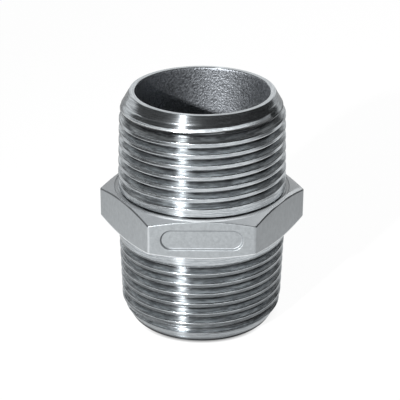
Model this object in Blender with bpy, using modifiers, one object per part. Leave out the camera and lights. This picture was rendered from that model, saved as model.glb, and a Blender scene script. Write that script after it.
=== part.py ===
"""A 1 inch hex nipple in stainless steel: a wrench hexagon between two taper-threaded pipe ends, with one
bore right through.

The fitting is cast in one piece and then turned, so its three zones are built as three solids that meet face
to face, with no gap: the hexagon, and the threaded end above and below it. Units are metres. +Z runs up the
bore, the lower end face stands on Z = 0 with the axis at X = Y = 0, and the marking panel faces -Y.
"""

import math

import bmesh
import bpy
from mathutils import Matrix

# Length over both end faces
OVERALL_LENGTH = 0.0480

# Taper pipe thread, right-handed: 60 degree flanks, 11.5 turns to the inch, 1 in 16 on the diameter
THREAD_LARGE_DIAMETER = 0.0335
THREAD_PITCH = 0.0254 / 11.5
THREAD_TAPER = 1 / 16
THREAD_CREST_FLAT = 0.00075
THREAD_ROOT_FLAT = 0.00015
THREAD_HALF_ANGLE = math.radians(30)
RUN_OUT_ANGLE = math.radians(200)
UPPER_THREAD_START = math.radians(84)
LOWER_THREAD_START = math.radians(156)

# Plain neck beside the hexagon
NECK_LENGTH = 0.0016

# Tip: wall between thread and bore, chamfer at the bore's mouth, flat end face and outer bevel
WALL_UNDER_THREAD = 0.0018
MOUTH_CHAMFER = 0.00025
END_FACE_WIDTH = 0.00075
END_BEVEL_LENGTH = 0.0035

# Wrench hexagon: its flats stand out from the neck, past a turned ledge and a conical chamfer on both sides
HEX_THICKNESS = 0.0079
HEX_STAND_OUT = 0.0010
HEX_LEDGE = 0.00085
HEX_CHAMFER_ANGLE = math.radians(20)
HEX_CORNER_RADIUS = 0.0006

# Recessed marking panel, a slot with round ends, set in from the edges of the front flat
PANEL_EDGE_MARGIN = 0.0018
PANEL_CORNER_MARGIN = 0.00225
PANEL_DEPTH = 0.0004

# Facets of a full turn, of a round corner and of a panel end, and the steepest joint that is shaded smooth
TURN_STEPS = 60
CORNER_STEPS = 3
PANEL_END_STEPS = 10
SMOOTH_ANGLE = math.radians(25)
MERGE_DISTANCE = 1e-6

# Bare stainless steel, as turned and as cast
STEEL_COLOUR = (0.60, 0.61, 0.62, 1.0)
TURNED_ROUGHNESS = 0.22
CAST_ROUGHNESS = 0.45

# Sizes that follow from those above
END_LENGTH = (OVERALL_LENGTH - HEX_THICKNESS) / 2
NECK_RADIUS = THREAD_LARGE_DIAMETER / 2
THREAD_DEPTH = (THREAD_PITCH - THREAD_CREST_FLAT - THREAD_ROOT_FLAT) / 2 / math.tan(THREAD_HALF_ANGLE)
TIP_RADIUS = NECK_RADIUS - (END_LENGTH - NECK_LENGTH) * THREAD_TAPER / 2
BORE_RADIUS = TIP_RADIUS - THREAD_DEPTH - WALL_UNDER_THREAD
HALF_FLAT_ANGLE = math.pi / 6
HEX_FLAT_REACH = NECK_RADIUS + HEX_STAND_OUT
HEX_CORNER_REACH = HEX_FLAT_REACH / math.cos(HALF_FLAT_ANGLE)
HEX_FLAT_WIDTH = 2 * HEX_FLAT_REACH * math.tan(HALF_FLAT_ANGLE)


def clear_scene():
    for obj in list(bpy.data.objects):
        bpy.data.objects.remove(obj, do_unlink=True)


def new_collection(name):
    collection = bpy.data.collections.new(name)
    bpy.context.scene.collection.children.link(collection)
    return collection


def steel(name, roughness):
    material = bpy.data.materials.new(name)
    material.use_nodes = True
    shader = material.node_tree.nodes["Principled BSDF"]
    shader.inputs["Base Color"].default_value = STEEL_COLOUR
    shader.inputs["Metallic"].default_value = 1.0
    shader.inputs["Roughness"].default_value = roughness
    return material


def add_object(name, data, collection):
    obj = bpy.data.objects.new(name, data)
    collection.objects.link(obj)
    return obj


def add_cutter(name, mesh):
    """A helper that shapes another piece and is no piece itself."""
    obj = add_object(name, mesh, cutters)
    obj.hide_render = True
    obj.display_type = "WIRE"
    return obj


def shaped_mesh(obj):
    """The object's mesh with its modifiers applied. The object itself is removed."""
    bpy.context.view_layer.update()
    graph = bpy.context.evaluated_depsgraph_get()
    mesh = bpy.data.meshes.new_from_object(obj.evaluated_get(graph))
    bpy.data.objects.remove(obj, do_unlink=True)
    return mesh


def profile_mesh(name, points, closed):
    """An outline of (radius, height) points in the XZ plane."""
    outline = bmesh.new()
    corners = [outline.verts.new((radius, 0, height)) for radius, height in points]
    followers = corners[1:] + corners[:1] if closed else corners[1:]
    for corner, follower in zip(corners, followers):
        outline.edges.new((corner, follower))
    mesh = bpy.data.meshes.new(name)
    outline.to_mesh(mesh)
    outline.free()
    return mesh


def sweep_round(obj, turns=1, rise=0.0):
    """Turns the object's outline about Z, rising by the same height in each turn."""
    screw = obj.modifiers.new("turn", "SCREW")
    screw.axis = "Z"
    screw.angle = math.tau
    screw.steps = TURN_STEPS
    screw.render_steps = TURN_STEPS
    screw.iterations = turns
    screw.screw_offset = rise
    screw.use_merge_vertices = rise == 0
    screw.merge_threshold = MERGE_DISTANCE


def combine(obj, operation, other):
    boolean = obj.modifiers.new(other.name, "BOOLEAN")
    boolean.operation = operation
    boolean.object = other


def finish(mesh, name, material):
    """Smooth round faces and crisp edges, in one material."""
    mesh.name = name
    mesh.materials.append(material)
    mesh.shade_smooth()
    mesh.set_sharp_from_angle(angle=SMOOTH_ANGLE)
    return mesh


def crest_radius(height):
    """Radius over the thread crests, at a height above the hexagon. The neck is not tapered."""
    return NECK_RADIUS - max(0.0, height - NECK_LENGTH) * THREAD_TAPER / 2


def end_blank():
    """What a threaded end is turned to apart from its thread: bore, end face and bevelled tip."""
    bevel_start = END_LENGTH - END_BEVEL_LENGTH
    mouth_radius = BORE_RADIUS + MOUTH_CHAMFER
    end_radius = mouth_radius + END_FACE_WIDTH
    bevel_slope = END_BEVEL_LENGTH / (crest_radius(bevel_start) - end_radius)
    outside = NECK_RADIUS + THREAD_DEPTH
    profile = [
        (BORE_RADIUS, END_LENGTH - MOUTH_CHAMFER),
        (mouth_radius, END_LENGTH),
        (end_radius, END_LENGTH),
        (outside, END_LENGTH - (outside - end_radius) * bevel_slope),
        (outside, 0),
        (BORE_RADIUS, 0),
    ]
    blank = add_cutter("end_blank", profile_mesh("end_blank", profile, closed=True))
    sweep_round(blank)
    return blank


def thread_rod():
    """A bar with the neck and the whole thread on it, longer than the threaded end at both ends.

    The outline of one turn is a groove and the crest below it. The groove is flat along the neck, and it sinks
    to full depth over the run-out angle.
    """
    half_root = THREAD_ROOT_FLAT / 2
    half_mouth = (THREAD_PITCH - THREAD_CREST_FLAT) / 2
    heights = [half_mouth, half_root, -half_root, -half_mouth, half_mouth - THREAD_PITCH]
    depths = [0, THREAD_DEPTH, THREAD_DEPTH, 0, 0]
    turns_below = math.ceil(NECK_LENGTH / THREAD_PITCH) + 1
    turns_above = math.ceil((END_LENGTH - NECK_LENGTH) / THREAD_PITCH) + 2
    start_height = NECK_LENGTH - turns_below * THREAD_PITCH
    outline = [(NECK_RADIUS, start_height + height) for height in heights]
    sweep = add_cutter("thread_sweep", profile_mesh("thread_sweep", outline, closed=False))
    sweep_round(sweep, turns_below + turns_above, THREAD_PITCH)
    mesh = shaped_mesh(sweep)

    rod = bmesh.new()
    rod.from_mesh(mesh)
    rod.verts.ensure_lookup_table()
    for vertex in rod.verts:
        step, point = divmod(vertex.index, len(outline))
        angle = math.tau * (step / TURN_STEPS - turns_below)
        sunk = min(1.0, max(0.0, angle / RUN_OUT_ANGLE))
        radius = crest_radius(vertex.co.z) - sunk * depths[point]
        vertex.co.xy *= radius / NECK_RADIUS
    bmesh.ops.remove_doubles(rod, verts=rod.verts, dist=MERGE_DISTANCE)
    for height, outward in ((-half_mouth, -1), (END_LENGTH + half_mouth, 1)):
        bmesh.ops.bisect_plane(
            rod,
            geom=rod.verts[:] + rod.edges[:] + rod.faces[:],
            plane_co=(0, 0, height),
            plane_no=(0, 0, outward),
            clear_outer=True,
        )
    bmesh.ops.holes_fill(rod, edges=rod.edges, sides=0)
    # Half a facet of turn keeps the edges of the thread off those of the bevel.
    half_facet = Matrix.Rotation(math.pi / TURN_STEPS, 3, "Z")
    bmesh.ops.rotate(rod, verts=rod.verts, matrix=half_facet)
    bmesh.ops.recalc_face_normals(rod, faces=rod.faces)
    rod.to_mesh(mesh)
    rod.free()
    return add_cutter("thread_rod", mesh)


def threaded_end_mesh():
    """One threaded end, with the hexagon's face at height 0 and its run-out starting at +X."""
    blank = end_blank()
    combine(blank, "INTERSECT", thread_rod())
    return finish(shaped_mesh(blank), "threaded_end", steel("turned_steel", TURNED_ROUGHNESS))


def hex_prism():
    """The plain hexagon with round corners, flats facing +Y and -Y."""
    prism = bmesh.new()
    bmesh.ops.create_cone(
        prism,
        cap_ends=True,
        segments=6,
        radius1=HEX_CORNER_REACH,
        radius2=HEX_CORNER_REACH,
        depth=2 * HEX_THICKNESS,
        matrix=Matrix.Rotation(HALF_FLAT_ANGLE, 4, "Z"),
    )
    upright = [edge for edge in prism.edges if abs(edge.verts[0].co.z - edge.verts[1].co.z) > HEX_THICKNESS]
    bmesh.ops.bevel(
        prism,
        geom=upright,
        offset=HEX_CORNER_RADIUS * math.tan(HALF_FLAT_ANGLE),
        offset_type="OFFSET",
        segments=CORNER_STEPS,
        profile=0.5,
        affect="EDGES",
    )
    mesh = bpy.data.meshes.new("hex_prism")
    prism.to_mesh(mesh)
    prism.free()
    return add_cutter("hex_prism", mesh)


def panel_slot():
    """The marking panel's recess: a flat outline with round ends, pushed into the front flat."""
    end_radius = HEX_THICKNESS / 2 - PANEL_EDGE_MARGIN
    end_centre = HEX_FLAT_WIDTH / 2 - PANEL_CORNER_MARGIN - end_radius
    angles = [math.pi * (step / PANEL_END_STEPS - 0.5) for step in range(PANEL_END_STEPS + 1)]
    points = [(end_centre + end_radius * math.cos(a), end_radius * math.sin(a)) for a in angles]
    points += [(-x, -y) for x, y in points]
    curve = bpy.data.curves.new("panel_outline", "CURVE")
    curve.dimensions = "2D"
    curve.fill_mode = "BOTH"
    curve.extrude = PANEL_DEPTH
    outline = curve.splines.new("POLY")
    outline.use_cyclic_u = True
    outline.points.add(len(points) - 1)
    for point, (x, y) in zip(outline.points, points):
        point.co = (x, y, 0, 1)
    mesh = shaped_mesh(add_object("panel_outline", curve, cutters))

    slot = bmesh.new()
    slot.from_mesh(mesh)
    bmesh.ops.remove_doubles(slot, verts=slot.verts, dist=MERGE_DISTANCE)
    bmesh.ops.rotate(slot, verts=slot.verts, matrix=Matrix.Rotation(math.pi / 2, 3, "X"))
    bmesh.ops.translate(slot, verts=slot.verts, vec=(0, -HEX_FLAT_REACH, 0))
    slot.to_mesh(mesh)
    slot.free()
    return add_cutter("panel_slot", mesh)


def hex_collar_mesh():
    """The hexagon, centred on its own mid-plane: a turned double cone with the bore, cut to six flats."""
    half = HEX_THICKNESS / 2
    ledge_radius = NECK_RADIUS + HEX_LEDGE
    rim_radius = HEX_CORNER_REACH + HEX_CORNER_RADIUS
    rim_height = half - (rim_radius - ledge_radius) * math.tan(HEX_CHAMFER_ANGLE)
    profile = [
        (BORE_RADIUS, half),
        (ledge_radius, half),
        (rim_radius, rim_height),
        (rim_radius, -rim_height),
        (ledge_radius, -half),
        (BORE_RADIUS, -half),
    ]
    collar = add_cutter("collar_blank", profile_mesh("collar_blank", profile, closed=True))
    sweep_round(collar)
    combine(collar, "INTERSECT", hex_prism())
    combine(collar, "DIFFERENCE", panel_slot())
    return finish(shaped_mesh(collar), "hex_collar", steel("cast_steel", CAST_ROUGHNESS))


def add_piece(name, mesh, height, rotation=(0, 0, 0)):
    """A finished piece on the axis, at a height above the lower end face."""
    obj = add_object(name, mesh, pieces)
    obj.parent = axis
    obj.location.z = height
    obj.rotation_euler = rotation


clear_scene()
pieces = new_collection("hex_nipple")
cutters = new_collection("cutters")
axis = add_object("bore_axis", None, pieces)

mid_height = OVERALL_LENGTH / 2
upper_face = mid_height + HEX_THICKNESS / 2
lower_face = mid_height - HEX_THICKNESS / 2
threaded_end = threaded_end_mesh()
add_piece("hex_collar", hex_collar_mesh(), mid_height)
add_piece("upper_threaded_end", threaded_end, upper_face, (0, 0, UPPER_THREAD_START))
add_piece("lower_threaded_end", threaded_end, lower_face, (math.pi, 0, LOWER_THREAD_START))
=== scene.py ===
import math

import bmesh
import bpy
import numpy as np
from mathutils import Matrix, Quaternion, Vector


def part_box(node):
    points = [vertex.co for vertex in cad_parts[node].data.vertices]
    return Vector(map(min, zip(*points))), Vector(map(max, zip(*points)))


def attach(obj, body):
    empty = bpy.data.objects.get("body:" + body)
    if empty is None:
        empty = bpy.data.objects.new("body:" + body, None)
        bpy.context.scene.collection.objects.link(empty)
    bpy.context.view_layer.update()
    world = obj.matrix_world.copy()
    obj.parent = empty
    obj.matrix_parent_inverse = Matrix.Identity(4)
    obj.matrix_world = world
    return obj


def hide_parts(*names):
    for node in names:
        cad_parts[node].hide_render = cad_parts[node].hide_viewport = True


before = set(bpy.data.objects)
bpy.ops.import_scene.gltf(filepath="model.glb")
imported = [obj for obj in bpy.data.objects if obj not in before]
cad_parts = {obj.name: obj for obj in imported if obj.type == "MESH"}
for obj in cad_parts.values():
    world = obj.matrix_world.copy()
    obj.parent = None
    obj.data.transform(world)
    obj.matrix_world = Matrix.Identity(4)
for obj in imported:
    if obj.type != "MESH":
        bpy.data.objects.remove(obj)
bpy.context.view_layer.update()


# Wrench hexagon: the middle of the casting, in stainless steel blasted to an even satin. The mould gave it
# its flats and the shallow panel in the front one, and the lathe then faced a ledge and a conical chamfer
# on both its ends. Lengths are in metres.
hex_low, hex_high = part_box("hex_collar")
HEX_MIDDLE = (hex_low.z + hex_high.z) / 2
HEX_HALF = (hex_high.z - hex_low.z) / 2
FLAT_REACH = hex_high.y
NECK_RADIUS = 0.01675
BORE_RADIUS = 0.01324
LEDGE_WIDTH = 0.00085
CHAMFER_SLOPE = math.tan(math.radians(20))
CORNER_RADIUS = 0.0006
FRONT = math.radians(-90)
SIXTH = math.radians(60)
FLAT_EDGE_SOFTNESS = 0.00018
LEDGE_EDGE_SOFTNESS = 0.00010
EDGE_LINE = 0.00006
SHORT_SIDE_SHARE = 0.45
SCRIBE_WIDTH = 0.00014
SCRIBE_DEPTH = 0.00010
PANEL_EDGE_MARGIN = 0.0018
PANEL_CORNER_MARGIN = 0.00225
PANEL_DEPTH = 0.0004
PANEL_WALL = 0.0004
GRAIN_SEED = 11
GRAIN_WAVES = 260
GRAIN_LENGTH = 0.0009
GRAIN_PACE = (0.45, 1.5)
BORE_GRAIN = 0.000006
BORE_ROW = 0.0004
CORNER_STEPS = 6
SOFT_STEPS = 4
FRONT_FLAT_STEPS = 240
FLAT_STEPS = 36
FLAT_ROWS = 96
WELD_DISTANCE = 1e-7
SHARP_ANGLE = math.radians(55)

half_flat = FLAT_REACH * math.tan(SIXTH / 2)
corner_run = CORNER_RADIUS * math.tan(SIXTH / 2)
corner_centre = (FLAT_REACH - CORNER_RADIUS) / math.cos(SIXTH / 2)
corner_start = math.atan((half_flat - corner_run) / FLAT_REACH)
ledge_radius = NECK_RADIUS + LEDGE_WIDTH


def hexagon_angles():
    """Angles of the columns round the hexagon: even steps along each flat, closer on the front one, and a
    few round each corner. The last column closes on the first."""
    sides = []
    for side in range(6):
        steps = FLAT_STEPS if side else FRONT_FLAT_STEPS
        along = np.linspace(corner_run - half_flat, half_flat - corner_run, steps)
        corner = np.linspace(corner_start, SIXTH - corner_start, CORNER_STEPS)[1:-1]
        sides.append(FRONT + side * SIXTH + np.append(np.arctan(along / FLAT_REACH), corner))
    angles = np.concatenate(sides)
    return np.append(angles, angles[0] + math.tau)


def hexagon_reach(angle):
    """Radius of the hexagon's outline: the flat's reach over the cosine of the angle from its middle, and
    on a corner the far side of a small circle that touches both flats."""
    turn = np.abs((angle - FRONT + SIXTH / 2) % SIXTH - SIXTH / 2)
    flat = FLAT_REACH / np.cos(turn)
    off = SIXTH / 2 - turn
    inside = np.maximum(CORNER_RADIUS**2 - (corner_centre * np.sin(off)) ** 2, 0)
    return np.where(turn > corner_start, corner_centre * np.cos(off) + np.sqrt(inside), flat)


def soft_corner(before, corner, after, softness):
    """Rows that round one corner of a profile: a quadratic curve that leaves each side at the softness, or
    near the side's middle where the side is short."""
    towards, onwards = before - corner, after - corner
    lengths = [np.linalg.norm(side, axis=-1, keepdims=True) for side in (towards, onwards)]
    start = corner + towards * np.minimum(softness / lengths[0], SHORT_SIDE_SHARE)
    end = corner + onwards * np.minimum(softness / lengths[1], SHORT_SIDE_SHARE)
    t = np.linspace(0, 1, SOFT_STEPS + 1)[:, None, None]
    return (1 - t) ** 2 * start + 2 * t * (1 - t) * corner + t**2 * end


def straight_rows(start, end, count):
    """Rows evenly spaced between two rows, leaving both out."""
    t = np.linspace(0, 1, count + 2)[1:-1, None, None]
    return start + (end - start) * t


def chamfer_row(edge, beyond):
    """The row on a chamfer where the line along one edge ends, a short way from that edge to the other."""
    width = np.linalg.norm(beyond - edge, axis=-1, keepdims=True)
    return (edge + (beyond - edge) * np.minimum(EDGE_LINE / width, SHORT_SIDE_SHARE))[None]


def smooth_step(start, end, value):
    """Rises smoothly from 0 at the start to 1 at the end."""
    t = np.clip((value - start) / (end - start), 0, 1)
    return t * t * (3 - 2 * t)


def cast_grain(angle, height):
    """Unevenness of a cast skin, about -1 to 1: the sum of many waves of about one length that run in all
    directions over the wall, with a whole number of them in a turn of the bore."""
    draw = np.random.default_rng(GRAIN_SEED)
    heading = draw.uniform(0, math.tau, GRAIN_WAVES)
    pace = math.tau / GRAIN_LENGTH * draw.uniform(*GRAIN_PACE, GRAIN_WAVES)
    phase = draw.uniform(0, math.tau, GRAIN_WAVES)
    turns = np.round(pace * np.cos(heading) * BORE_RADIUS)
    climbs = pace * np.sin(heading)
    total = np.zeros(np.broadcast(angle, height).shape)
    for turn, climb, shift in zip(turns, climbs, phase):
        total += np.sin(turn * angle + climb * height + shift)
    return total / math.sqrt(GRAIN_WAVES / 2)


def bore_rows(top, bottom, angle):
    """Rows down the bore between two heights: a straight round wall, uneven by the cast grain."""
    count = round((top - bottom) / BORE_ROW)
    height = np.linspace(top, bottom, count + 1)[:, None] + 0 * angle
    radius = BORE_RADIUS + BORE_GRAIN * cast_grain(angle, height)
    return np.stack([radius, height], axis=-1)


def around(profile, angle):
    """Carries rows of radius and height round the bore's axis."""
    radius, height = profile[..., 0], profile[..., 1]
    return np.stack([radius * np.cos(angle), radius * np.sin(angle), height], axis=-1)


def skin(name, points, row_finish, finishes, marks, lay=None):
    """Joins a grid of points, rows by columns by 3, into one closed skin. Rows run up the outside, over
    the top face, down the bore and back along the bottom face, and columns run once round. Points that
    fall together are welded, which closes the seam. Marks are named values of the points, kept for the
    materials. Lay gives the distances along and across the tool's path, and becomes a map of that name."""
    rows, columns = points.shape[:2]
    index = np.arange(rows * columns).reshape(rows, columns)
    following = np.roll(index, -1, axis=0)
    corners = [index[:, :-1], index[:, 1:], following[:, 1:], following[:, :-1]]
    faces = np.stack(corners, axis=-1).reshape(-1, 4)
    mesh = bpy.data.meshes.new(name)
    mesh.from_pydata(points.reshape(-1, 3), [], faces)
    mesh.polygons.foreach_set("material_index", np.repeat(row_finish, columns - 1).astype(np.int32))
    for label, values in marks.items():
        layer = mesh.attributes.new(label, "FLOAT", "POINT")
        layer.data.foreach_set("value", values.ravel().astype(np.float32))
    if lay is not None:
        step = np.linalg.norm(np.roll(points, -1, axis=0) - points, axis=-1)
        ahead = lay + np.stack([0 * step, step], axis=-1)
        spots = np.stack([lay[:, :-1], lay[:, 1:], ahead[:, 1:], ahead[:, :-1]], axis=2)
        mesh.uv_layers.new(name="lay").data.foreach_set("uv", spots.ravel().astype(np.float32))
    shell = bmesh.new()
    shell.from_mesh(mesh)
    bmesh.ops.remove_doubles(shell, verts=shell.verts, dist=WELD_DISTANCE)
    shell.to_mesh(mesh)
    shell.free()
    mesh.shade_smooth()
    mesh.set_sharp_from_angle(angle=SHARP_ANGLE)
    for material in finishes:
        mesh.materials.append(material)
    piece = bpy.data.objects.new(name, mesh)
    bpy.context.scene.collection.objects.link(piece)
    return piece


class Shade:
    """One output in a node tree. Arithmetic on it adds Math nodes, and make adds any other node."""

    def __init__(self, tree, node=None, result=0):
        self.tree = tree
        self.node = node
        self.output = node.outputs[result] if node and node.outputs else None

    def make(self, kind, sockets=None, result=0, **settings):
        """Adds a node: its settings first, then the values or links of its sockets."""
        node = self.tree.nodes.new("ShaderNode" + kind)
        for name, setting in settings.items():
            setattr(node, name, setting)
        for name, value in (sockets or {}).items():
            if isinstance(value, Shade):
                self.tree.links.new(value.output, node.inputs[name])
            else:
                node.inputs[name].default_value = value
        return Shade(self.tree, node, result)

    def results(self, *names):
        """Other outputs of the same node."""
        return [Shade(self.tree, self.node, name) for name in names]

    def calculate(self, operation, *terms):
        """A Math node on the terms."""
        return self.make("Math", dict(enumerate(terms)), operation=operation)

    def __add__(self, other):
        return self.calculate("ADD", self, other)

    def __sub__(self, other):
        return self.calculate("SUBTRACT", self, other)

    def __rsub__(self, other):
        return self.calculate("SUBTRACT", other, self)

    def __mul__(self, other):
        return self.calculate("MULTIPLY", self, other)

    def __pow__(self, other):
        return self.calculate("POWER", self, other)

    __radd__ = __add__
    __rmul__ = __mul__


# A Mix node has sockets for every kind of value. These are its two colours and the mixed colour.
MIX_COLOURS = (6, 7)
MIX_RESULT = 2
NOISE_DETAIL = 2.0


def new_finish(name):
    """An empty material and the start of its node tree."""
    material = bpy.data.materials.new(name)
    material.use_nodes = True
    material.node_tree.nodes.clear()
    return material, Shade(material.node_tree)


def mark(shade, name):
    """A named value that the points of the mesh carry."""
    return shade.make("Attribute", result="Fac", attribute_name=name)


def noise(place, size, detail=NOISE_DETAIL):
    """Noise of about one feature size over a place, 0 to 1."""
    return place.make("TexNoise", {"Vector": place, "Scale": 1 / size, "Detail": detail}, "Fac")


def levels(value, ends):
    """A value with the range between two ends stretched to 0 to 1, and cut off beyond them."""
    return value.make("MapRange", {"Value": value, "From Min": ends[0], "From Max": ends[1]})


def tint(low, high, amount):
    """A colour between two, by an amount from 0 to 1. Either may itself vary over the surface."""
    sockets = {"Factor": amount}
    for socket, colour in zip(MIX_COLOURS, (low, high)):
        sockets[socket] = colour if isinstance(colour, Shade) else (*colour, 1)
    return amount.make("Mix", sockets, MIX_RESULT, data_type="RGBA")


def bump(height, depth):
    """Small relief: the heights times a depth, in metres."""
    return height.make("Bump", {"Height": height, "Distance": depth, "Strength": 1.0})


def bare_metal(colour, roughness, normal, stretch=0.0, turn=0.0, metallic=1.0):
    """A bare metal shader. Its gloss is stretched, in a direction given as a share of a full turn, and a
    dull skin is less than wholly metallic."""
    sockets = {"Base Color": colour, "Metallic": metallic, "Roughness": roughness, "Normal": normal}
    sockets |= {"Anisotropic": stretch, "Anisotropic Rotation": turn}
    return colour.make("BsdfPrincipled", sockets)


SATIN_DARK = (0.315, 0.335, 0.348)
SATIN_LIGHT = (0.395, 0.419, 0.435)
SATIN_ROUGHNESS = 0.24
SATIN_UNEVENNESS = 0.10
SATIN_METALLIC = 0.85
BLAST_GRAIN = 0.00035
BLAST_RANGE = (0.32, 0.68)
BLAST_DEPTH = 0.000012
BLAST_SHARE = 0.4
MOTTLE_SIZE = 0.00060
MOTTLE_DETAIL = 3.0
MOTTLE_SQUEEZE = (1, 1, 0.65)
CLOUD_SIZE = 0.0030
CLOUD_DETAIL = 4.0
# The faced colours run from painted shade on the left to painted light on the right.
FACED_DARK = (0.15, 0.158, 0.165)
FACED_LIGHT = (0.66, 0.69, 0.71)
FACED_METALLIC = 0.15
PAINTED_LIGHT_POWER = 5.0
PAINTED_LIGHT_SHARE = 0.9
WEAR_AND_PAINTED_HIGHLIGHT = (0.80, 0.83, 0.85)
EDGE_DARK = (0.14, 0.15, 0.158)
WALL_ROUGHNESS = 0.55

satin, shade = new_finish("blasted_steel")
place = shade.make("TexCoord", result="Object")
satin_marks = ("edge", "worn_and_painted_highlight", "faced", "wall", "painted_wall_shade")
edge, worn_and_painted_highlight, faced, wall, painted_wall_shade = [mark(shade, name) for name in satin_marks]
grain = levels(noise(place, BLAST_GRAIN), BLAST_RANGE)
cloud = noise(place, CLOUD_SIZE, CLOUD_DETAIL)
squeezed = shade.make("VectorMath", {0: place, 1: MOTTLE_SQUEEZE}, operation="MULTIPLY")
mottle = levels(noise(squeezed, MOTTLE_SIZE, MOTTLE_DETAIL), BLAST_RANGE)
blasted = tint(SATIN_DARK, SATIN_LIGHT, grain * BLAST_SHARE + mottle * (1 - BLAST_SHARE))
# Painted light: the faced ledges and chamfers are lighter towards the right and darker towards the left.
painted_light_rightward = levels(shade.make("SeparateXYZ", {0: place}, "X"), (-FLAT_REACH, FLAT_REACH))
turned_face = tint(FACED_DARK, FACED_LIGHT, painted_light_rightward**PAINTED_LIGHT_POWER * PAINTED_LIGHT_SHARE + cloud * (1 - PAINTED_LIGHT_SHARE))
colour = tint(blasted, turned_face, faced)
# Wear and painted highlight: the lower edges, the front of the upper ledge and the front flat's left
# corner are lightened.
colour = tint(colour, WEAR_AND_PAINTED_HIGHLIGHT, worn_and_painted_highlight)
# Painted shade: the upper edges of the side flats and the panel's wall are darkened.
colour = tint(colour, EDGE_DARK, edge + painted_wall_shade)
roughness = (grain + cloud) * SATIN_UNEVENNESS + wall * WALL_ROUGHNESS + SATIN_ROUGHNESS
metal = SATIN_METALLIC - faced * (SATIN_METALLIC - FACED_METALLIC)
surface = bare_metal(colour, roughness, bump(grain, BLAST_DEPTH), metallic=metal)
shade.make("OutputMaterial", {"Surface": surface})

CAST_DARK = (0.113, 0.12, 0.131)
CAST_LIGHT = (0.33, 0.348, 0.37)
CAST_ROUGHNESS = 0.46
SAND_GRAIN = 0.00040
SAND_DETAIL = 3.0
SAND_RANGE = (0.3, 0.7)
SAND_SHARE = 0.7
SAND_ROUGHNESS = 0.1
SAND_DEPTH = 0.000045

cast, shade = new_finish("cast_bore")
place = shade.make("TexCoord", result="Object")
sand = levels(noise(place, SAND_GRAIN, SAND_DETAIL), SAND_RANGE)
cloud = noise(place, CLOUD_SIZE, SAND_DETAIL)
colour = tint(CAST_DARK, CAST_LIGHT, sand * SAND_SHARE + cloud * (1 - SAND_SHARE))
surface = bare_metal(colour, sand * SAND_ROUGHNESS + CAST_ROUGHNESS, bump(sand, SAND_DEPTH))
shade.make("OutputMaterial", {"Surface": surface})

angles = hexagon_angles()
reach = hexagon_reach(angles)
flat_edge = HEX_HALF - (reach - ledge_radius) * CHAMFER_SLOPE
round_wall = np.ones_like(angles)
profile = [
    (ledge_radius * round_wall, HEX_MIDDLE - HEX_HALF * round_wall),
    (reach, HEX_MIDDLE - flat_edge),
    (reach, HEX_MIDDLE + flat_edge),
    (ledge_radius * round_wall, HEX_MIDDLE + HEX_HALF * round_wall),
]
low_ledge, low_edge, high_edge, high_ledge = [np.stack(corner, axis=-1) for corner in profile]
bore_wall = bore_rows(HEX_MIDDLE + HEX_HALF, HEX_MIDDLE - HEX_HALF, angles)
low_ledge_rows = soft_corner(bore_wall[-1], low_ledge, low_edge, LEDGE_EDGE_SOFTNESS)
low_edge_rows = soft_corner(low_ledge, low_edge, high_edge, FLAT_EDGE_SOFTNESS)
high_edge_rows = soft_corner(low_edge, high_edge, high_ledge, FLAT_EDGE_SOFTNESS)
high_ledge_rows = soft_corner(high_edge, high_ledge, bore_wall[0], LEDGE_EDGE_SOFTNESS)
flat_rows = straight_rows(low_edge_rows[-1], high_edge_rows[0], FLAT_ROWS)
low_chamfer = chamfer_row(low_edge_rows[0], low_ledge_rows[-1])
high_chamfer = chamfer_row(high_edge_rows[-1], high_ledge_rows[0])
high_turn = chamfer_row(high_ledge_rows[0], high_edge_rows[-1])

# A fine line is scribed round each ledge, just inside its edge: a groove of three rows.
scribe_across = SCRIBE_WIDTH * np.array([0, 0.5, 1])[:, None] * round_wall
scribe_radius = ledge_radius - LEDGE_EDGE_SOFTNESS - scribe_across
scribe_drop = SCRIBE_DEPTH * np.array([0, 1, 0])[:, None] * round_wall
low_scribe = np.stack([scribe_radius[::-1], HEX_MIDDLE - HEX_HALF + scribe_drop], axis=-1)
high_scribe = np.stack([scribe_radius, HEX_MIDDLE + HEX_HALF - scribe_drop], axis=-1)
low_rows = [low_scribe, low_ledge_rows, low_chamfer, low_edge_rows]
high_rows = [high_edge_rows, high_chamfer, high_turn, high_ledge_rows, high_scribe]
row_groups = [*low_rows, flat_rows, *high_rows, bore_wall]
hexagon = around(np.concatenate(row_groups), angles)

# The panel sinks where a slot with round ends lies under the front flat, with a soft wall.
FRONT_TOLERANCE = 0.00004
panel_radius = HEX_HALF - PANEL_EDGE_MARGIN
panel_run = half_flat - PANEL_CORNER_MARGIN - panel_radius
past_the_end = np.maximum(np.abs(hexagon[..., 0]) - panel_run, 0)
inside = panel_radius - np.hypot(past_the_end, hexagon[..., 2] - HEX_MIDDLE)
on_the_front = np.abs(hexagon[..., 1] + FLAT_REACH) < FRONT_TOLERANCE
sunk = on_the_front * smooth_step(0, PANEL_WALL, inside)
hexagon[..., 1] += PANEL_DEPTH * sunk


def on_rows(*chosen):
    """1 on the rows of the chosen groups and 0 on the others, as a column."""
    flags = [np.full(len(rows), any(rows is one for one in chosen)) for rows in row_groups]
    return np.concatenate(flags)[:, None]


# Painted shade lies along the panel's wall, most at its left end, and along the upper edges of the side
# flats. The lower edges, the front of the upper ledge and the front flat's left corner are rubbed bright,
# partly wear and partly painted highlight.
WALL_MARK_GAIN = 8
WALL_PAINTED_SHADE = 0.42
PANEL_LEFT_END = (0.0005, -0.0010)
CORNER_PAINTED_HIGHLIGHT = 0.35
CORNER_TOLERANCE = 1e-6
LEDGE_PAINTED_HIGHLIGHT = 0.40
LEDGE_PAINTED_HIGHLIGHT_ENDS = (SIXTH * 0.7, SIXTH * 0.3)

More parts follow.
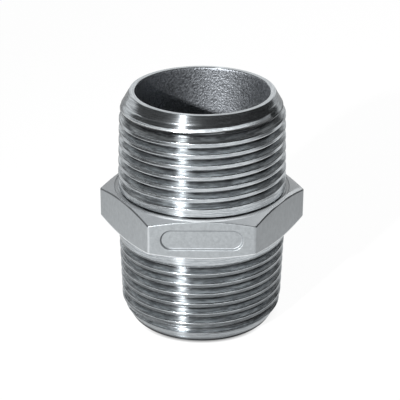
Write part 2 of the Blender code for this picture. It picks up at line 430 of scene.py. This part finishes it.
panel_wall = np.minimum(WALL_MARK_GAIN * sunk * (1 - sunk), 1)
left_end = smooth_step(*PANEL_LEFT_END, hexagon[..., 0] + panel_run)
front_way = np.abs((angles - FRONT + math.pi) % math.tau - math.pi)
off_front = front_way > SIXTH / 2
corner_way = (angles - FRONT + SIXTH / 2 + math.pi) % math.tau - math.pi
left_corner = np.abs(corner_way) < SIXTH / 2 - corner_start - CORNER_TOLERANCE
corner_painted_highlight = CORNER_PAINTED_HIGHLIGHT * on_rows(flat_rows) * left_corner
ledge_painted_highlight = LEDGE_PAINTED_HIGHLIGHT * on_rows(high_ledge_rows, high_scribe) * smooth_step(*LEDGE_PAINTED_HIGHLIGHT_ENDS, front_way)
hexagon_marks = {
    "edge": on_rows(high_edge_rows) * off_front,
    "worn_and_painted_highlight": on_rows(low_edge_rows) + ledge_painted_highlight + corner_painted_highlight,
    "faced": on_rows(*low_rows[:-1], *high_rows[1:]) + 0 * angles,
    "wall": panel_wall,
    "painted_wall_shade": panel_wall * (WALL_PAINTED_SHADE + (1 - WALL_PAINTED_SHADE) * left_end),
}

# The faces after the last row of the bore run along the bottom face, which is blasted.
row_finish = on_rows(bore_wall).ravel()
row_finish[-1] = False
wrench_hexagon = skin("wrench_hexagon", hexagon, row_finish, [satin, cast], hexagon_marks)
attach(wrench_hexagon, "root")
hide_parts("hex_collar")


# Threaded ends: the two ends of the same casting, turned bright in the lathe. Each has a short plain neck,
# a right-hand taper thread that runs out into it, a bevelled tip and a flat end ring round the rough cast
# bore. Heights here are above the hexagon's face, and the lower end is made likewise and turned over.
end_low, end_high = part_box("upper_threaded_end")
END_LENGTH = end_high.z - end_low.z
NECK_LENGTH = 0.0016
NECK_RELIEF_HEIGHT = 0.00050
NECK_RELIEF_DEPTH = 0.00050
END_FACE_WIDTH = 0.00090
END_BEVEL_LENGTH = 0.0035
BEVEL_SOFTNESS = 0.00003
UPPER_RIM_SOFTNESS = 0.00012
LOWER_RIM_SOFTNESS = 0.00130
MOUTH_CHAMFER = 0.00010
MOUTH_SOFTNESS = 0.00012
TURN_STEPS = 300
RELIEF_STEPS = 8
ROOT_STEPS = 4
FLANK_STEPS = 5
CREST_STEPS = 7

# The cut thread.
INCH = 0.0254
TURNS_PER_INCH = 11.5
THREAD_PITCH = INCH / TURNS_PER_INCH
THREAD_TAPER = 1 / 16
THREAD_CREST_FLAT = 0.00075
THREAD_ROOT_FLAT = 0.00015
THREAD_HALF_ANGLE = math.radians(30)
THREAD_SOFTNESS = 0.00011
LIP_SOFTNESS = 0.00030
LIP_WIDTH = 0.00026
UPPER_THREAD_START = math.radians(87)
LOWER_THREAD_START = math.radians(153)
RUN_OUT_ANGLE = math.radians(200)
GROOVE_END = (math.radians(2560), math.radians(2430))

# The first crest under the bevel, and the trace that the tool left on the bevel above it.
FIRST_CREST_HEIGHTS = (0.0158, 0.0166)
FIRST_CREST_LIFT = 0.00048
FIRST_LAND_TOP = 0.00064
FIRST_LAND_GAIN = 0.00026
FIRST_LAND_SHARE = 0.57
FIRST_LAND_END = 0.01746
FIRST_LAND_FADE = 0.00005
FIRST_WIDE_HEIGHTS = (0.01698, 0.01710)
TRACE_TOP = 0.00033
TRACE_EDGE = 0.00012
TRACE_TAIL = 0.00045
TRACE_DEPTH = 0.000030
TRACE_WEAR = 0.35

# Painted shade under the upper end's first crest, in the neck's relief, along the lower rim and on the
# lower end's crests.
PAINTED_SHADE_START = 0.00016
PAINTED_SHADE_EDGE = 0.00010
PAINTED_SHADE_END = (0.01712, 0.01700)
PAINTED_SHADE_REST = 0.5
RELIEF_PAINTED_SHADE = 2.5
LOWER_RIM_PAINTED_SHADE = (0.75, 0.85, 0.85, 0.85, 0.85)
CREST_BRIGHT_EDGE = 0.00018
PAINTED_CREST_SHADE_EDGE = 0.00006

half_mouth = (THREAD_PITCH - THREAD_CREST_FLAT) / 2
thread_depth = (half_mouth - THREAD_ROOT_FLAT / 2) / math.tan(THREAD_HALF_ANGLE)
mouth_radius = BORE_RADIUS + MOUTH_CHAMFER
end_radius = mouth_radius + END_FACE_WIDTH
bevel_start = END_LENGTH - END_BEVEL_LENGTH


def crest_radius(height):
    """Radius over the crests: the neck's, less half the taper for each height above the neck."""
    return NECK_RADIUS - np.maximum(0, height - NECK_LENGTH) * THREAD_TAPER / 2


def soft_greater(a, b, softness):
    """The greater of two values, with the change from one to the other rounded over the softness."""
    return np.maximum(a, b) + np.maximum(softness - np.abs(a - b), 0) ** 2 / (4 * softness)


def groove_depth(offset, crest_softness):
    """Depth of the thread's groove at a distance along the axis from its middle: straight flanks between a
    flat root and a flat crest, with both rounded."""
    flank = (half_mouth - np.abs(offset)) / math.tan(THREAD_HALF_ANGLE)
    above_root = soft_greater(thread_depth - flank, 0, THREAD_SOFTNESS)
    return soft_greater(thread_depth - above_root, 0, crest_softness)


def turn_offsets():
    """Distances from a groove's middle, for the rows of one turn: close together at the root and at the
    edges of the crest, and a few down each flank."""
    root_end = THREAD_ROOT_FLAT / 2 + THREAD_SOFTNESS
    flank_end = half_mouth - THREAD_SOFTNESS
    root = np.linspace(0, root_end, ROOT_STEPS)
    flank = np.linspace(root_end, flank_end, FLANK_STEPS)[1:]
    crest = np.linspace(flank_end, THREAD_PITCH / 2, CREST_STEPS)[1:]
    half_turn = np.concatenate([root, flank, crest])
    return np.concatenate([-half_turn[:0:-1], half_turn[:-1]])


def winding_rows(low, high, angle):
    """Rows that follow the groove between two heights. A row keeps its distance from the groove's middle
    and climbs one pitch in a turn, and it stays level where it would leave the heights. Gives the angle
    wound since the thread's start, the height, and the distance from the groove's middle."""
    offsets = turn_offsets()
    first_turn = math.floor((low - NECK_LENGTH) / THREAD_PITCH) - 1
    last_turn = math.ceil((high - NECK_LENGTH) / THREAD_PITCH)
    turns = np.arange(first_turn, last_turn + 1)
    wound = np.repeat(turns, len(offsets))[:, None] * math.tau + angle
    climb = THREAD_PITCH * wound / math.tau
    height = np.clip(NECK_LENGTH + climb + np.tile(offsets, len(turns))[:, None], low, high)
    return wound, height, height - NECK_LENGTH - climb


def first_crest_lift(offset, crest_height):
    """How far the rows are lifted: the whole lift on the first crest, none on the crests below it, and a
    straight rise across the groove between them."""
    upper_crest = crest_height + THREAD_PITCH * (offset < 0)
    above = smooth_step(*FIRST_CREST_HEIGHTS, upper_crest)
    below = smooth_step(*FIRST_CREST_HEIGHTS, upper_crest - THREAD_PITCH)
    rise = np.clip(offset / half_mouth / 2 + 0.5, 0, 1)
    return FIRST_CREST_LIFT * (below + (above - below) * rise)


def painted_shade_band(spread):
    """1 on the upper flank of a groove, from a little above its root to its mouth, and 0 elsewhere."""
    started = smooth_step(PAINTED_SHADE_START - PAINTED_SHADE_EDGE, PAINTED_SHADE_START, spread)
    return started * smooth_step(half_mouth, half_mouth - PAINTED_SHADE_EDGE, spread)


def painted_crest_shade_band(spread):
    """1 on a crest, but for a bright edge on the hexagon's side, and 0 elsewhere."""
    past_edge = np.where(spread > 0, spread - CREST_BRIGHT_EDGE, -spread) - half_mouth
    return smooth_step(-PAINTED_CREST_SHADE_EDGE, PAINTED_CREST_SHADE_EDGE, past_edge)


def thread_rows(low, high, angle, lip_side):
    """Rows along the thread between two heights: the crests' cone, less the groove, cut back by the bevel.
    The groove sinks over the run-out and fades out on the bevel, where a shallow trace of the tool goes
    on. The first crest under the bevel is lifted and keeps a steeper land. A groove's lip is rounded on
    one side, 1 for the tip's and -1 for the hexagon's. Gives the marks and the lay of the rows too: the
    groove's share of its full depth, the bevel, the lips with their painted highlight, the painted shade
    under the upper end's first crest, the plain neck and the painted shade on the lower end's crests, and
    the way along and across."""
    wound, height, offset = winding_rows(low, high, angle)
    crest_height = height - offset + np.sign(offset) * THREAD_PITCH / 2
    first = smooth_step(*FIRST_CREST_HEIGHTS, crest_height)
    lift = first_crest_lift(offset, crest_height)
    spread = (offset - lift + THREAD_PITCH / 2) % THREAD_PITCH - THREAD_PITCH / 2
    lifted = (offset < 0) & (spread > 0)

    # The groove.
    cut_wound = wound - math.tau * lifted
    sunk = np.clip(cut_wound / RUN_OUT_ANGLE, 0, 1) * smooth_step(*GROOVE_END, cut_wound)
    softness = LIP_SOFTNESS + (THREAD_SOFTNESS - LIP_SOFTNESS) * first
    cut = sunk * groove_depth(spread, np.where(spread * lip_side > 0, softness, THREAD_SOFTNESS))

    # The crests, and the land that the first one keeps.
    on_crest = smooth_step(half_mouth - THREAD_SOFTNESS, half_mouth, np.abs(spread))
    land_top = FIRST_LAND_TOP + FIRST_LAND_GAIN * smooth_step(*FIRST_WIDE_HEIGHTS, crest_height)
    land = smooth_step(land_top, land_top - THREAD_SOFTNESS, height - crest_height)
    land = land * np.where(spread > 0, on_crest, 1)
    on_crest = on_crest + (land - on_crest) * first * (offset < 0)
    on_crest = on_crest * smooth_step(FIRST_LAND_END, FIRST_LAND_END - FIRST_LAND_FADE, crest_height)

    # The bevel, with the tool's trace, and the rows that are left of the cone.
    upright = on_crest * FIRST_LAND_SHARE
    slope = (crest_radius(bevel_start) - end_radius) / END_BEVEL_LENGTH
    bevel = end_radius + (END_LENGTH - height - upright * (crest_height + land_top - height)) * slope
    tail = np.clip((offset + TRACE_TAIL) / (TRACE_TOP + TRACE_TAIL), 0, 1)
    tail = tail * smooth_step(*GROOVE_END[::-1], wound)
    bevel = bevel - TRACE_DEPTH * tail * smooth_step(TRACE_TOP + TRACE_EDGE, TRACE_TOP, offset)
    blank = -soft_greater(-crest_radius(height), -bevel, BEVEL_SOFTNESS)
    radius = -soft_greater(cut - crest_radius(height), -bevel, BEVEL_SOFTNESS)

    # What the material needs to know.
    bevelled = smooth_step(0, THREAD_SOFTNESS, crest_radius(height) - cut - bevel) * (1 - on_crest)
    bevelled = bevelled * (1 - TRACE_WEAR * tail)
    crest_above = crest_height + THREAD_PITCH * ((offset < 0) & ~lifted)
    # Painted shade on the flank under the upper end's first crest, half as strong higher round.
    painted_shade = smooth_step(*FIRST_CREST_HEIGHTS, crest_above) * sunk * painted_shade_band(spread) * (lip_side > 0)
    painted_shade = painted_shade * (PAINTED_SHADE_REST + (1 - PAINTED_SHADE_REST) * smooth_step(*PAINTED_SHADE_END, crest_height))
    lip = smooth_step(LIP_WIDTH, 0, np.abs(spread * lip_side - half_mouth))
    marks = {
        "groove": np.clip((blank - radius) / thread_depth, 0, 1),
        "bevelled": bevelled,
        "lip": lip * sunk * (1 - bevelled),
        "painted_shade": painted_shade,
        "plain": smooth_step(RUN_OUT_ANGLE, 0, wound),
        "painted_crest_shade": painted_crest_shade_band(spread) * sunk * (1 - bevelled) * (lip_side < 0),
    }
    lay = np.stack([wound * NECK_RADIUS, offset + 0 * wound], axis=-1)
    return np.stack([radius, height], axis=-1), marks, lay


def level_row(radius, height, angle):
    """One round row."""
    return np.stack([radius + 0 * angle, height + 0 * angle], axis=-1)


def threaded_end(name, thread_start, flip, rim_softness, finishes):
    """One threaded end, standing on the hexagon's face at height 0: a hollow relief, the thread, the rim,
    the mouth and the bore. The lower end is turned upside down and gets painted shade along its rim. Then
    the end is turned to where its thread starts, and set on its face of the hexagon."""
    angle = np.linspace(0, math.tau, TURN_STEPS + 1)
    t = np.linspace(0, 1, RELIEF_STEPS)[:, None]
    hollow = np.sin(math.pi * t)
    relief = level_row(NECK_RADIUS - NECK_RELIEF_DEPTH * hollow, NECK_RELIEF_HEIGHT * t, angle)
    shoulder = END_LENGTH - rim_softness
    thread, thread_marks, thread_lay = thread_rows(NECK_RELIEF_HEIGHT, shoulder, angle, -1 if flip else 1)
    rim = level_row(end_radius, END_LENGTH, angle)
    mouth = level_row(mouth_radius, END_LENGTH, angle)
    bore_wall = bore_rows(END_LENGTH - MOUTH_CHAMFER, 0, angle)
    rim_rows = soft_corner(thread[-1], rim, mouth, rim_softness)
    mouth_rows = soft_corner(rim, mouth, bore_wall[0], MOUTH_SOFTNESS)
    turned_rows = np.concatenate([relief[:-1], thread, rim_rows, mouth_rows])
    rows = around(np.concatenate([turned_rows, bore_wall]), angle)

    is_thread = slice(len(relief) - 1, len(relief) - 1 + len(thread))
    is_rim = slice(is_thread.stop, is_thread.stop + len(rim_rows))
    marks = {label: np.zeros(rows.shape[:2]) for label in thread_marks}
    # Painted shade darkens the neck's relief, through the groove mark.
    marks["groove"][:len(relief)] = np.minimum(RELIEF_PAINTED_SHADE * hollow, 1)
    marks["bevelled"][is_thread.stop:] = 1
    for label, values in thread_marks.items():
        marks[label][is_thread] = values
    lay = np.stack([angle * NECK_RADIUS + 0 * rows[..., 2], rows[..., 2]], axis=-1)
    lay[is_thread] = thread_lay

    if flip:
        # Painted shade along the lower rim.
        marks["painted_shade"][is_rim] = np.array(LOWER_RIM_PAINTED_SHADE)[:, None]
        rows = rows * (1, -1, -1)
    cos, sin = math.cos(thread_start), math.sin(thread_start)
    rows = rows @ np.array([[cos, sin, 0], [-sin, cos, 0], [0, 0, 1]])
    rows[..., 2] += HEX_MIDDLE + (-HEX_HALF if flip else HEX_HALF)
    row_finish = np.append(np.zeros(len(turned_rows)), np.ones(len(bore_wall)))
    row_finish[-1] = 0
    return skin(name, rows, row_finish, finishes, marks, lay)


def strokes(lay, length, width):
    """Fine marks of about one length along the tool's path and one width across it, 0 to 1."""
    along, across = lay
    spot = along.make("CombineXYZ", {"X": along * (1 / length), "Y": across * (1 / width)})
    sockets = {"Vector": spot, "Scale": 1.0, "Detail": NOISE_DETAIL}
    return spot.make("TexNoise", sockets, "Fac", noise_dimensions="2D")


TURNED_DARK = (0.44, 0.47, 0.495)
TURNED_LIGHT = (0.62, 0.66, 0.685)
LIP_PAINTED_HIGHLIGHT = (0.86, 0.89, 0.91)
PAINTED_CREST_SHADE_DARK = (0.18, 0.193, 0.203)
PAINTED_CREST_SHADE_LIGHT = (0.31, 0.331, 0.343)
FLANK_DARK = (0.267, 0.286, 0.302)
FLANK_LIGHT = (0.585, 0.624, 0.647)
FLANK_DULL = 0.04
FLANK_RANGE = (0.02, 0.20)
ROOT_DARK = (0.014, 0.0148, 0.016)
ROOT_LIGHT = (0.062, 0.066, 0.071)
ROOT_POWER = 3.5
PAINTED_SHADE_BLACK = (0.010, 0.0105, 0.011)
PAINTED_SHADE_ROUGHNESS = 0.9
STREAK = (0.0045, 0.00022)
HAIR = (0.0016, 0.00013)
STREAK_SHARE = 0.6
STREAK_RANGE = (0.42, 0.58)
STREAK_DEPTH = 0.000006
BEVEL_STREAK_DEPTH = 0.000001
SMOOTH_ROUGHNESS = 0.19
BEVEL_POLISH = 0.06
BRUSHED_ROUGHNESS = 0.25
BRUSHED_GROOVE_GAIN = 0.07
BRUSHED_BEVEL_GAIN = 0.12
BRUSHED_STRETCH = 1.0
ACROSS_THE_RINGS = 0.25
BRUSHED_ON_CREST = 0.040
BRUSHED_IN_GROOVE = 1.0
BRUSHED_ON_BEVEL = 0.13
BRUSHED_ON_NECK = 0.25
BRUSHED_ON_PAINTED_CREST_SHADE = 0.40
TORN_ROUGHNESS = 0.60
TORN_IN_GROOVE = 0.08

turned, shade = new_finish("turned_steel")
turned_marks = ("groove", "bevelled", "lip", "painted_shade", "plain", "painted_crest_shade")
groove, bevelled, lip, painted_shade, plain, painted_crest_shade = [mark(shade, name) for name in turned_marks]
lay = shade.make("SeparateXYZ", {0: shade.make("UVMap", uv_map="lay")}).results("X", "Y")
streaks = strokes(lay, *STREAK) * STREAK_SHARE + strokes(lay, *HAIR) * (1 - STREAK_SHARE)
streaks = levels(streaks, STREAK_RANGE)
bright = tint(TURNED_DARK, TURNED_LIGHT, streaks)
# Painted highlight: a light line along the lips.
bright = tint(bright, LIP_PAINTED_HIGHLIGHT, lip)
# Painted shade darkens the lower end's crests.
bright = tint(bright, tint(PAINTED_CREST_SHADE_DARK, PAINTED_CREST_SHADE_LIGHT, streaks), painted_crest_shade)
on_flank = levels(groove, FLANK_RANGE)
colour = tint(bright, tint(FLANK_DARK, FLANK_LIGHT, streaks), on_flank)
# Darker towards the groove's root, and near black in the neck's relief, where it is painted shade.
colour = tint(colour, tint(ROOT_DARK, ROOT_LIGHT, streaks), groove**ROOT_POWER)
relief = bump(streaks * (STREAK_DEPTH - bevelled * (STREAK_DEPTH - BEVEL_STREAK_DEPTH)), 1.0)
metal = 1 - on_flank * FLANK_DULL

# Three finishes of the same metal are mixed: smooth, brushed in rings by the tool, and torn at the roots.
polish = SMOOTH_ROUGHNESS - bevelled * BEVEL_POLISH
smooth = bare_metal(colour, polish, relief, metallic=metal)
combed = groove * BRUSHED_GROOVE_GAIN + bevelled * BRUSHED_BEVEL_GAIN + BRUSHED_ROUGHNESS
brushed = bare_metal(colour, combed, relief, BRUSHED_STRETCH, ACROSS_THE_RINGS, metal)
torn = bare_metal(colour, TORN_ROUGHNESS, relief, metallic=metal)
brushed_share = BRUSHED_ON_CREST + groove * (BRUSHED_IN_GROOVE - BRUSHED_ON_CREST)
brushed_share = brushed_share + bevelled * BRUSHED_ON_BEVEL + plain * BRUSHED_ON_NECK
brushed_share = brushed_share + painted_crest_shade * BRUSHED_ON_PAINTED_CREST_SHADE
surface = shade.make("MixShader", {0: brushed_share, 1: smooth, 2: brushed})
surface = shade.make("MixShader", {0: groove * TORN_IN_GROOVE, 1: surface, 2: torn})
# Where the painted shade lies, a black matt skin is mixed in.
painted_shade_sockets = {"Base Color": (*PAINTED_SHADE_BLACK, 1), "Roughness": PAINTED_SHADE_ROUGHNESS, "Specular IOR Level": 0.0}
surface = shade.make("MixShader", {0: painted_shade, 1: surface, 2: shade.make("BsdfPrincipled", painted_shade_sockets)})
shade.make("OutputMaterial", {"Surface": surface})

finishes = [turned, cast]
upper_thread = threaded_end("upper_thread", UPPER_THREAD_START, False, UPPER_RIM_SOFTNESS, finishes)
lower_thread = threaded_end("lower_thread", LOWER_THREAD_START, True, LOWER_RIM_SOFTNESS, finishes)
for piece, node in ((upper_thread, "upper_threaded_end"), (lower_thread, "lower_threaded_end")):
    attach(piece, "root")
    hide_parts(node)


# Studio: a white floor in a white tent that is dim overhead and brightest in front. One small lamp stands
# in front and to the left, and the floor keeps the object's soft shadow.
FLOOR_SIZE = 1.5
FLOOR_WHITE = (0.90, 0.90, 0.90, 1)
PATCH_WAY = (0.292, -0.956, 0)
PATCH_EDGE = (0.30, 0.80)
FLOOR_DIM = 0.14
FLOOR_BRIGHT = 0.92
FLOOR_RIGHT_GAIN = 0.06
BACK_EDGE = (0.15, 0.50)
FLOOR_BACK = 0.80
BACK_RIGHT_GAIN = 0.08
FAR_BACK_EDGE = (0.55, 0.85)
FAR_BACK = 0.45
NEAR_EDGE = (0.072, 0.098)
CLOSE_EDGE = (-0.10, 0.45)
FLOOR_NEAR = 0.91
FLOOR_CLOSE_BACK = 0.77
CLOSE_RIGHT_GAIN = 0.06
CONTACT_SHADOW = (0.0200, 0.055)
CONTACT_DARK = 0.67
RIM_SHADOW = (0.0143, 0.0149)
RIM_DARK = 0.1
BORE_FLOOR = 0.60
FOOT_RING_START = (0.0133, 0.0138)
FOOT_RING = (0.0139, 0.0153)
FOOT_RING_DARK = 0.80
FOOT_RING_FRONT = (-0.50, -0.95)
FOOT_SHADOW = (0.0142, 0.0165)
FOOT_GLOW = 0.85
FLOOR_GLOW = 0.93
FLOOR_GLOW_STRENGTH = 1.03


def fade(value, ends, low, high):
    """Goes smoothly from low to high as the value goes from one end to the other."""
    sockets = {"Value": value, "From Min": ends[0], "From Max": ends[1], "To Min": low, "To Max": high}
    return value.make("MapRange", sockets, interpolation_type="SMOOTHSTEP")


floor_mesh = bpy.data.meshes.new("floor")
floor_corners = np.array([[-1, -1, 0], [1, -1, 0], [1, 1, 0], [-1, 1, 0]]) * FLOOR_SIZE
floor_mesh.from_pydata(floor_corners, [], [(0, 1, 2, 3)])
floor = bpy.data.objects.new("floor", floor_mesh)
bpy.context.scene.collection.objects.link(floor)

paper, shade = new_finish("white_paper")
seen, mirrored = shade.make("LightPath").results("Is Camera Ray", "Is Glossy Ray")
spot = shade.make("TexCoord", result="Object")
out = shade.make("VectorMath", {0: spot}, "Value", operation="LENGTH")
way = shade.make("VectorMath", {0: spot}, operation="NORMALIZE")
to_patch = shade.make("VectorMath", {0: way, 1: PATCH_WAY}, "Value", operation="DOT_PRODUCT")
to_right, to_back = shade.make("SeparateXYZ", {0: way}).results("X", "Y")

# The floor that the metal mirrors glows with painted light: bright in front and at the back, and painted
# shade where the object stands.
patch = fade(to_patch, PATCH_EDGE, FLOOR_DIM + FLOOR_RIGHT_GAIN * to_right, FLOOR_BRIGHT)
back = fade(to_back, BACK_EDGE, 0.0, FLOOR_BACK + BACK_RIGHT_GAIN * to_right)
back = back * fade(to_back, FAR_BACK_EDGE, 1.0, FAR_BACK)
distant = shade.calculate("MAXIMUM", patch, back)
close = fade(to_back, CLOSE_EDGE, FLOOR_NEAR, FLOOR_CLOSE_BACK + CLOSE_RIGHT_GAIN * to_right)
near = fade(out, NEAR_EDGE, 1.0, 0.0)
contact = fade(out, RIM_SHADOW, RIM_DARK, 1.0) + fade(out, FOOT_RING_START, BORE_FLOOR, 0.0)
contact = contact * fade(out, CONTACT_SHADOW, CONTACT_DARK, 1.0)
mirrored_floor = (distant + near * (close - distant)) * contact

# The floor that the camera sees: white, with a painted shadow line under the front of the rim.
foot = fade(out, FOOT_RING_START, 0.0, 1.0) * fade(out, FOOT_RING, FOOT_RING_DARK, 0.0)
foot = foot * fade(to_back, FOOT_RING_FRONT, 0.0, 1.0)
lit = seen * (1 - foot) * FLOOR_GLOW_STRENGTH + mirrored * mirrored_floor
glow = shade.make("Emission", {"Color": lit})
matt = shade.make("BsdfDiffuse", {"Color": FLOOR_WHITE})
glow_share = seen * fade(out, FOOT_SHADOW, FOOT_GLOW, FLOOR_GLOW) + mirrored
surface = shade.make("MixShader", {0: glow_share, 1: matt, 2: glow})
shade.make("OutputMaterial", {"Surface": surface})
floor_mesh.materials.append(paper)

# The tent: a wall all round, brightest in front, a backdrop, and a dim sky. The camera sees plain white.
ROOM_LIGHT = 0.42
WALL_TOP = 0.14
WALL_TOP_FALL = 0.086
WALL_FRONT_RISE = 0.11
WALL_EDGE = (-0.05, 0.05)
WALL_LEVEL = 0.69
WALL_LEFT_GAIN = 0.17
WALL_FRONT_GAIN = 1.20
WALL_FRONT_EDGE = (0.10, -0.70)
WALL_LEFT_EDGE = (-0.60, 0.10)
WALL_LEFT_SHARE = 0.30
BACKDROP_EDGE = (0.66, 0.92)
BACKDROP_LEVEL = 0.92
SKY_DARK = 0.03
SKY_LIGHT = 0.26
SKY_EDGE = (0.0, 0.45)
SKY_FOOT = (0.35, 0.60)
SKY_SIDE_LOSS = 0.40

world = bpy.data.worlds.new("studio")
bpy.context.scene.world = world
world.use_nodes = True
world.node_tree.nodes.clear()
shade = Shade(world.node_tree)
seen, mirrored = shade.make("LightPath").results("Is Camera Ray", "Is Glossy Ray")
direction = shade.make("SeparateXYZ", {0: shade.make("TexCoord", result="Generated")})
across, away, up = direction.results("X", "Y", "Z")
front = fade(away, WALL_FRONT_EDGE, 0.0, 1.0) * fade(across, WALL_LEFT_EDGE, WALL_LEFT_SHARE, 1.0)
over = up + WALL_TOP_FALL * across - WALL_FRONT_RISE * front - WALL_TOP
tent_wall = WALL_FRONT_GAIN * front + WALL_LEVEL - WALL_LEFT_GAIN * across
tent_wall = fade(over, WALL_EDGE, 1.0, 0.0) * tent_wall
backdrop = fade(away, BACKDROP_EDGE, 0.0, BACKDROP_LEVEL)
sky = fade(away, SKY_EDGE, 0.0, SKY_LIGHT) * fade(up, SKY_FOOT, 0.0, 1.0) + SKY_DARK
sky = sky * (1 - SKY_SIDE_LOSS * across)
room = shade.calculate("MAXIMUM", shade.calculate("MAXIMUM", tent_wall, backdrop), sky)
level = seen + mirrored * room + (1 - seen) * (1 - mirrored) * ROOM_LIGHT
shade.make("OutputWorld", {"Surface": shade.make("Background", {"Color": level})})

# The lamp: a small square softbox with a grid that narrows its beam, turned to face the hexagon.
KEY_TURN = math.radians(-29)
KEY_ELEVATION = math.radians(22.7)
KEY_DISTANCE = 0.45
KEY_SIZE = 0.018
KEY_POWER = 0.105
KEY_SPREAD = math.radians(28)

middle = Vector((0, 0, HEX_MIDDLE))
key_out = KEY_DISTANCE * math.cos(KEY_ELEVATION)
key_foot = Vector((math.sin(KEY_TURN), -math.cos(KEY_TURN), 0)) * key_out
key_place = key_foot + middle + Vector((0, 0, KEY_DISTANCE * math.sin(KEY_ELEVATION)))
key_light = bpy.data.lights.new("key_light", "AREA")
key_light.size = KEY_SIZE
key_light.energy = KEY_POWER
key_light.spread = KEY_SPREAD
softbox = bpy.data.objects.new("key_light", key_light)
softbox.location = key_place
softbox.rotation_euler = (middle - key_place).to_track_quat("-Z", "Y").to_euler()
bpy.context.scene.collection.objects.link(softbox)


# Camera: a long lens that looks down a little on the hexagon, square to its front flat. The Standard view
# shows colours as they are written.
CAMERA_DISTANCE = 0.2781
CAMERA_ELEVATION = math.radians(24.51)
CAMERA_ROLL = math.radians(0.3)
CAMERA_LENS = 124.3
CAMERA_NEAR = 0.01
AIM_OFFSET = Vector((-0.00038, 0, 0.00043))

camera_data = bpy.data.cameras.new("camera")
camera_data.lens = CAMERA_LENS
camera_data.clip_start = CAMERA_NEAR
camera = bpy.data.objects.new("camera", camera_data)
stand = Vector((0, -math.cos(CAMERA_ELEVATION), math.sin(CAMERA_ELEVATION))) * CAMERA_DISTANCE
camera.location = middle + AIM_OFFSET + stand
level_turn = (-stand).to_track_quat("-Z", "Y")
camera.rotation_euler = (level_turn @ Quaternion((0, 0, 1), CAMERA_ROLL)).to_euler()
bpy.context.scene.collection.objects.link(camera)
bpy.context.scene.camera = camera
bpy.context.scene.view_settings.view_transform = "Standard"
